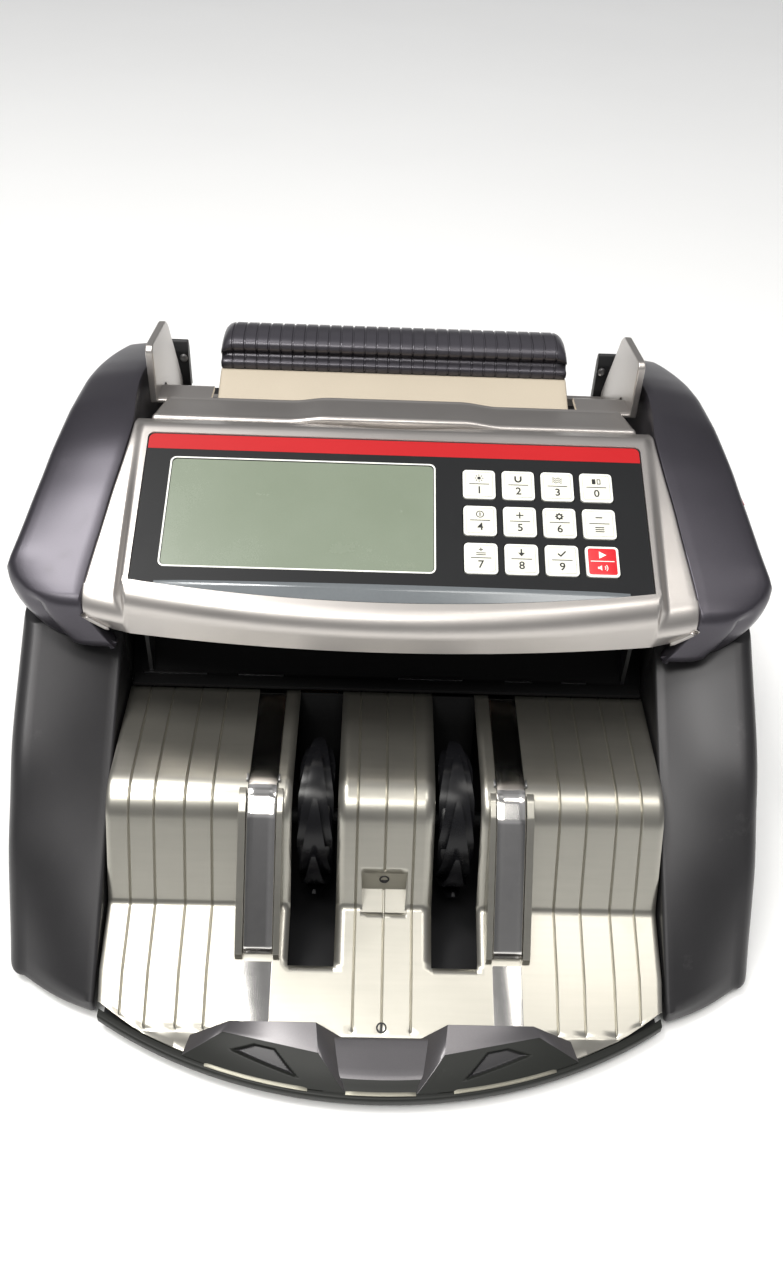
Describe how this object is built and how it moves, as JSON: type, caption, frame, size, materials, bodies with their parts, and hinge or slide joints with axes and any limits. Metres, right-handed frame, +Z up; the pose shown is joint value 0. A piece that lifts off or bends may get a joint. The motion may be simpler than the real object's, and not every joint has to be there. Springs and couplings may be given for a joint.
{
  "type": "banknote counting machine",
  "caption": "Desktop banknote counter with sloped display and keypad, rear hopper with sliding note guides, front stacker tray with wheels, and carry handle.",
  "frame": {"origin": "centre of the bounding box at the underside of the rubber feet", "axes": "+Z up, front of the machine (stacker tray) towards -Y, +X to the right seen from the front"},
  "size_m": [0.283, 0.2958, 0.1737],
  "materials": {
    "silver": "fine metallic satin",
    "dark": "gunmetal satin paint",
    "black": "black satin",
    "frame_steel": "black painted sheet",
    "overlay": "semi-gloss film",
    "chrome": "polished",
    "wheel": "glossy black",
    "rubber": "matte",
    "key": "satin",
    "red": "satin",
    "lcd": "glossy window",
    "beige": "satin",
    "steel": "plain steel",
    "pcb": "green board",
    "copper": "wound core",
    "roller": "soft rubber",
    "belt": "belt",
    "white": "acetal"
  },
  "bodies": {
    "machine_body": {"top_cover": "silver", "stacker_tray": "silver", "side_panel_left": "dark", "side_panel_right": "dark", "shoulder_left": "dark", "shoulder_right": "dark", "front_stop": "dark", "carry_handle": "dark", "base_pan": "dark", "rear_cover": "dark", "hopper_bed": "black", "power_inlet": "black", "fuse_cap": "black", "throat_plate": "black", "frame_plate_left": "frame_steel", "frame_plate_right": "frame_steel", "control_overlay": "overlay", "note_rail_left": "chrome", "note_rail_right": "chrome", "foot_front_left": "rubber", "foot_front_right": "rubber", "foot_rear_left": "rubber", "foot_rear_right": "rubber", "retard_roller": "rubber", "lcd_window": "lcd", "hopper_plate": "beige", "main_motor": "steel", "motor_bracket": "steel", "display_board": "pcb", "main_board": "pcb", "power_transformer": "copper", "stacker_belt": "belt", "feed_belt": "belt", "pickup_belt": "belt"},
    "note_guide_left": {"note_guide_left": "silver"},
    "note_guide_right": {"note_guide_right": "silver"},
    "guide_pinion": {"guide_pinion": "white"},
    "feed_gap_lid": {"feed_gap_lid": "silver"},
    "stacker": {"stacker_shaft": "steel", "stacker_wheel_left": "wheel", "stacker_wheel_right": "wheel", "stacker_pulley": "white"},
    "feed": {"feed_roller": "roller", "feed_pulley": "white"},
    "pickup": {"pickup_roller": "roller"},
    "motor_pulley": {"motor_pulley": "white"},
    "power_switch": {"power_switch": "red"},
    "gap_adjust_knob": {"gap_adjust_knob": "black"},
    "key_1": {"key_1": "key"},
    "key_2": {"key_2": "key"},
    "key_3": {"key_3": "key"},
    "key_0": {"key_0": "key"},
    "key_4": {"key_4": "key"},
    "key_5": {"key_5": "key"},
    "key_6": {"key_6": "key"},
    "key_minus": {"key_minus": "key"},
    "key_7": {"key_7": "key"},
    "key_8": {"key_8": "key"},
    "key_9": {"key_9": "key"},
    "key_start": {"key_start": "red"}
  },
  "joints": [
    {"name": "key_1_press", "type": "slide", "parent": "machine_body", "child": "key_1", "axis": [0, 0.4163, -0.9092], "range_m": [0, 0.0006], "stiffness_N_per_m": 350},
    {"name": "key_2_press", "type": "slide", "parent": "machine_body", "child": "key_2", "axis": [0, 0.4163, -0.9092], "range_m": [0, 0.0006], "stiffness_N_per_m": 350},
    {"name": "key_3_press", "type": "slide", "parent": "machine_body", "child": "key_3", "axis": [0, 0.4163, -0.9092], "range_m": [0, 0.0006], "stiffness_N_per_m": 350},
    {"name": "key_0_press", "type": "slide", "parent": "machine_body", "child": "key_0", "axis": [0, 0.4163, -0.9092], "range_m": [0, 0.0006], "stiffness_N_per_m": 350},
    {"name": "key_4_press", "type": "slide", "parent": "machine_body", "child": "key_4", "axis": [0, 0.4163, -0.9092], "range_m": [0, 0.0006], "stiffness_N_per_m": 350},
    {"name": "key_5_press", "type": "slide", "parent": "machine_body", "child": "key_5", "axis": [0, 0.4163, -0.9092], "range_m": [0, 0.0006], "stiffness_N_per_m": 350},
    {"name": "key_6_press", "type": "slide", "parent": "machine_body", "child": "key_6", "axis": [0, 0.4163, -0.9092], "range_m": [0, 0.0006], "stiffness_N_per_m": 350},
    {"name": "key_minus_press", "type": "slide", "parent": "machine_body", "child": "key_minus", "axis": [0, 0.4163, -0.9092], "range_m": [0, 0.0006], "stiffness_N_per_m": 350},
    {"name": "key_7_press", "type": "slide", "parent": "machine_body", "child": "key_7", "axis": [0, 0.4163, -0.9092], "range_m": [0, 0.0006], "stiffness_N_per_m": 350},
    {"name": "key_8_press", "type": "slide", "parent": "machine_body", "child": "key_8", "axis": [0, 0.4163, -0.9092], "range_m": [0, 0.0006], "stiffness_N_per_m": 350},
    {"name": "key_9_press", "type": "slide", "parent": "machine_body", "child": "key_9", "axis": [0, 0.4163, -0.9092], "range_m": [0, 0.0006], "stiffness_N_per_m": 350},
    {"name": "key_start_press", "type": "slide", "parent": "machine_body", "child": "key_start", "axis": [0, 0.4163, -0.9092], "range_m": [0, 0.0006], "stiffness_N_per_m": 350},
    {"name": "guide_left_slide", "type": "slide", "parent": "machine_body", "child": "note_guide_left", "axis": [1, 0, 0], "range_m": [0, 0.018]},
    {"name": "guide_right_slide", "type": "slide", "parent": "machine_body", "child": "note_guide_right", "axis": [-1, 0, 0], "range_m": [0, 0.018]},
    {"name": "guide_pinion_spin", "type": "hinge", "parent": "machine_body", "child": "guide_pinion", "pos_m": [0, 0.1292, 0.1295], "axis": [0, 0, 1], "range_deg": [0, 308]},
    {"name": "lid_hinge", "type": "hinge", "parent": "machine_body", "child": "feed_gap_lid", "pos_m": [0, 0.0773, 0.1513], "axis": [-1, 0, 0], "range_deg": [0, 70]},
    {"name": "stacker_spin", "type": "hinge", "parent": "machine_body", "child": "stacker", "pos_m": [0, -0.0495, 0.0395], "axis": [1, 0, 0], "continuous": true},
    {"name": "feed_spin", "type": "hinge", "parent": "machine_body", "child": "feed", "pos_m": [0, 0.0375, 0.11], "axis": [1, 0, 0], "continuous": true},
    {"name": "pickup_spin", "type": "hinge", "parent": "machine_body", "child": "pickup", "pos_m": [0, 0.0855, 0.1175], "axis": [1, 0, 0], "continuous": true},
    {"name": "motor_spin", "type": "hinge", "parent": "machine_body", "child": "motor_pulley", "pos_m": [0.083, 0.0975, 0.038], "axis": [1, 0, 0], "continuous": true},
    {"name": "power_rocker", "type": "hinge", "parent": "machine_body", "child": "power_switch", "pos_m": [0.1315, 0.0355, 0.1332], "axis": [0, 1, 0], "range_deg": [-7, 7]},
    {"name": "gap_knob_turn", "type": "hinge", "parent": "machine_body", "child": "gap_adjust_knob", "pos_m": [0, 0.1415, 0.1385], "axis": [0, 1, 0], "range_deg": [-150, 150]}
  ],
  "couplings": [
    {"joint": "guide_right_slide", "follows": "guide_left_slide", "ratio": 1},
    {"joint": "guide_pinion_spin", "follows": "guide_left_slide", "rad_per_m": 298.5},
    {"joint": "motor_spin", "follows": "stacker_spin", "ratio": 1.2222},
    {"joint": "feed_spin", "follows": "stacker_spin", "ratio": 1},
    {"joint": "pickup_spin", "follows": "stacker_spin", "ratio": 1}
  ]
}
